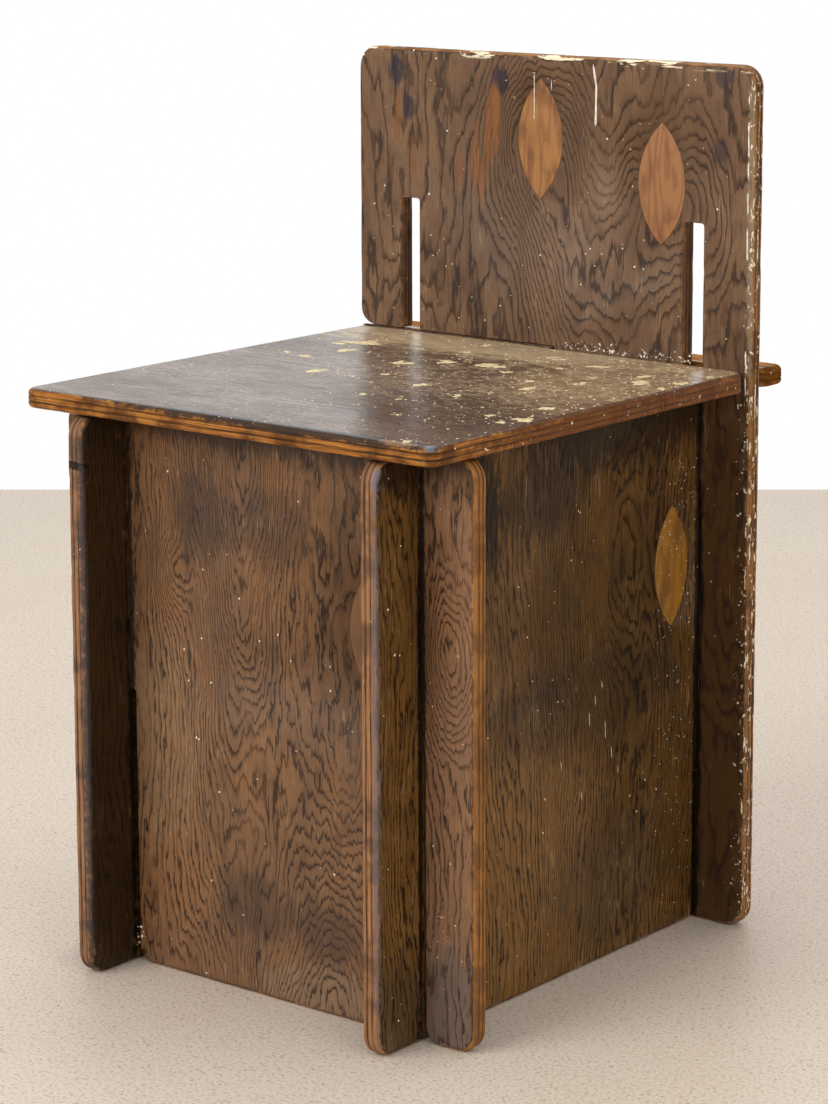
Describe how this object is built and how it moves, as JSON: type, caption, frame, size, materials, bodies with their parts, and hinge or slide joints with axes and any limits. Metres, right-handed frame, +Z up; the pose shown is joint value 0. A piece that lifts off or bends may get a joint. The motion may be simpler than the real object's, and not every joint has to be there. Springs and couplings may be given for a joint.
{
  "type": "slot-together plywood chair",
  "caption": "Knock-down plywood chair of flat boards that lock with half-lap slots, with lens-shaped veneer patches, round corners and worn, paint-spattered faces.",
  "frame": {"origin": "on the floor, under the middle of the chair's bounding box", "axes": "+Z up; the chair faces -Y, so +X is to the right when looking along +Y at its front"},
  "size_m": [0.418, 0.475, 0.724],
  "materials": {
    "seat_plywood": "stained and varnished plywood, rubbed thin, with paint spatter",
    "back_plywood": "dark stained rotary-cut plywood, satin, scraped and paint-dripped",
    "front_plywood": "dark stained rotary-cut plywood, satin, worn",
    "side_plywood": "dark stained rotary-cut plywood, satin, worn",
    "patch_veneer": "lighter veneer patch, satin"
  },
  "bodies": {
    "root": {"seat_panel": "seat_plywood", "back_panel": "back_plywood", "front_panel": "front_plywood", "side_panel_left": "side_plywood", "side_panel_right": "side_plywood", "back_patch_upper": "patch_veneer", "back_patch_lower": "patch_veneer", "side_patch": "patch_veneer", "front_patch": "patch_veneer"}
  },
  "joints": []
}
